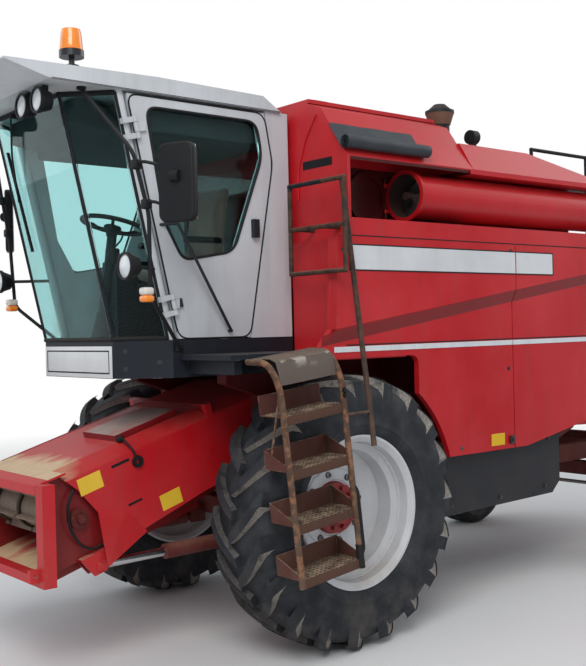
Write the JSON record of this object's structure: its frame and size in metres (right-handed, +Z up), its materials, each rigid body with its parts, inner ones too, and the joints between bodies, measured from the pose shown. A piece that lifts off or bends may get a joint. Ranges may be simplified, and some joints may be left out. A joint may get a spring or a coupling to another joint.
{
  "type": "combine harvester without its cutting header",
  "caption": "Combine harvester without its header: glazed cab, feeder house that lifts, grain tank, folding unloading auger, lugged drive wheels and steered rear wheels.",
  "frame": {"origin": "centre of the bounding box's base, on the ground under the machine", "axes": "+X to the machine's left, +Y to its rear, +Z up"},
  "size_m": [2.64, 6.9, 3.5273],
  "materials": {
    "red_paint": "faded red gloss paint, dusty",
    "dark_red_paint": "dark red paint with dirt",
    "pale_paint": "pale grey paint",
    "black_paint": "dark blue-black paint, worn edges",
    "rusty_steel": "rusted steel with worn dark paint",
    "silver_paint": "silver-white rim paint",
    "tyre_rubber": "dusty black rubber",
    "steel": "bare worn steel",
    "tinted_glass": "blue-green tinted glass",
    "tarp": "dark coated tarpaulin",
    "seat_cloth": "brown seat cloth",
    "black_plastic": "black moulded plastic",
    "beacon_orange": "orange lens"
  },
  "bodies": {
    "machine": {"chassis": "dark_red_paint", "front_axle": "dark_red_paint", "threshing_body": "dark_red_paint", "grain_tank": "red_paint", "tarp_roll": "tarp", "side_panel_left": "red_paint", "side_panel_right": "red_paint", "lower_guards": "black_paint", "engine": "steel", "engine_hood": "red_paint", "air_intake": "black_paint", "straw_hood": "red_paint", "rear_axle": "dark_red_paint", "cab_base": "black_paint", "cab_frame": "pale_paint", "cab_roof": "pale_paint", "cab_glass": "tinted_glass", "seat": "seat_cloth", "steering": "black_plastic", "mirrors": "black_plastic", "work_lamps": "black_plastic", "beacon": "beacon_orange", "platform": "black_paint", "ladder": "rusty_steel", "handrails": "rusty_steel"},
    "lid_left": {"tank_lid_left": "red_paint"},
    "lid_right": {"tank_lid_right": "red_paint"},
    "auger": {"unloading_auger": "red_paint"},
    "door_left": {"side_door_left": "red_paint"},
    "door_right": {"side_door_right": "red_paint"},
    "steer_left": {"knuckle_left": "dark_red_paint"},
    "steer_right": {"knuckle_right": "dark_red_paint"},
    "track_rod": {"tie_rod": "steel"},
    "rear_wheel_left": {"rear_rim_left": "silver_paint", "rear_tyre_left": "tyre_rubber"},
    "rear_wheel_right": {"rear_rim_right": "silver_paint", "rear_tyre_right": "tyre_rubber"},
    "front_wheel_left": {"front_rim_left": "silver_paint", "front_tyre_left": "tyre_rubber"},
    "front_wheel_right": {"front_rim_right": "silver_paint", "front_tyre_right": "tyre_rubber"},
    "feeder": {"feeder_house": "red_paint", "feeder_conveyor": "steel", "header_frame": "red_paint"},
    "barrel_left": {"ram_barrel_left": "dark_red_paint"},
    "barrel_right": {"ram_barrel_right": "dark_red_paint"},
    "rod_left": {"ram_rod_left": "steel"},
    "rod_right": {"ram_rod_right": "steel"},
    "door": {"cab_door": "pale_paint", "door_glass": "tinted_glass"}
  },
  "joints": [
    {"name": "front_wheel_left_spin", "type": "hinge", "parent": "machine", "child": "front_wheel_left", "pos_m": [0.847, -1.51, 0.815], "axis": [1, 0, 0], "continuous": true},
    {"name": "front_wheel_right_spin", "type": "hinge", "parent": "machine", "child": "front_wheel_right", "pos_m": [-1.087, -1.51, 0.815], "axis": [1, 0, 0], "continuous": true},
    {"name": "steer_left_turn", "type": "hinge", "parent": "machine", "child": "steer_left", "pos_m": [0.62, 1.94, 0.64], "axis": [0, 0, 1], "range_deg": [-40, 40]},
    {"name": "steer_right_turn", "type": "hinge", "parent": "machine", "child": "steer_right", "pos_m": [-0.86, 1.94, 0.64], "axis": [0, 0, 1], "range_deg": [-40, 40]},
    {"name": "track_rod_turn", "type": "hinge", "parent": "steer_left", "child": "track_rod", "pos_m": [0.62, 2.2, 0.5], "axis": [0, 0, 1], "range_deg": [-40, 40]},
    {"name": "rear_wheel_left_spin", "type": "hinge", "parent": "steer_left", "child": "rear_wheel_left", "pos_m": [0.86, 1.94, 0.422], "axis": [1, 0, 0], "continuous": true},
    {"name": "rear_wheel_right_spin", "type": "hinge", "parent": "steer_right", "child": "rear_wheel_right", "pos_m": [-1.1, 1.94, 0.422], "axis": [1, 0, 0], "continuous": true},
    {"name": "feeder_lift", "type": "hinge", "parent": "machine", "child": "feeder", "pos_m": [-0.12, -1.64, 1.375], "axis": [-1, 0, 0], "range_deg": [-10, 17]},
    {"name": "barrel_left_swing", "type": "hinge", "parent": "machine", "child": "barrel_left", "pos_m": [0.28, -1.66, 0.62], "axis": [-1, 0, 0], "range_deg": [-12, 18]},
    {"name": "barrel_right_swing", "type": "hinge", "parent": "machine", "child": "barrel_right", "pos_m": [-0.52, -1.66, 0.62], "axis": [-1, 0, 0], "range_deg": [-12, 18]},
    {"name": "rod_left_slide", "type": "slide", "parent": "barrel_left", "child": "rod_left", "axis": [0, -0.9999, -0.0168], "range_m": [-0.14, 0.23]},
    {"name": "rod_right_slide", "type": "slide", "parent": "barrel_right", "child": "rod_right", "axis": [0, -0.9999, -0.0168], "range_m": [-0.14, 0.23]},
    {"name": "auger_swing", "type": "hinge", "parent": "machine", "child": "auger", "pos_m": [0.715, -0.916, 2.74], "axis": [0, 0, -1], "range_deg": [0, 90]},
    {"name": "lid_left_hinge", "type": "hinge", "parent": "machine", "child": "lid_left", "pos_m": [0.722, -1.51, 3.293], "axis": [0, 1, 0], "range_deg": [0, 100]},
    {"name": "lid_right_hinge", "type": "hinge", "parent": "machine", "child": "lid_right", "pos_m": [-0.962, -1.51, 3.293], "axis": [0, -1, 0], "range_deg": [0, 100]},
    {"name": "side_door_left_hinge", "type": "hinge", "parent": "machine", "child": "door_left", "pos_m": [1.05, 0.69, 2.4447], "axis": [0, -1, 0], "range_deg": [0, 70]},
    {"name": "side_door_right_hinge", "type": "hinge", "parent": "machine", "child": "door_right", "pos_m": [-1.29, 0.69, 2.4447], "axis": [0, 1, 0], "range_deg": [0, 70]},
    {"name": "cab_door_hinge", "type": "hinge", "parent": "machine", "child": "door", "pos_m": [0.566, -2.56508, 2.5], "axis": [0, 0.2167, -0.9762], "range_deg": [0, 60]}
  ],
  "couplings": [
    {"joint": "steer_right_turn", "follows": "steer_left_turn", "ratio": 1},
    {"joint": "track_rod_turn", "follows": "steer_left_turn", "ratio": -1},
    {"joint": "barrel_left_swing", "follows": "feeder_lift", "ratio": 0.98188},
    {"joint": "barrel_right_swing", "follows": "feeder_lift", "ratio": 0.98188},
    {"joint": "rod_left_slide", "follows": "feeder_lift", "m_per_rad": 0.75119},
    {"joint": "rod_right_slide", "follows": "feeder_lift", "m_per_rad": 0.75119}
  ]
}
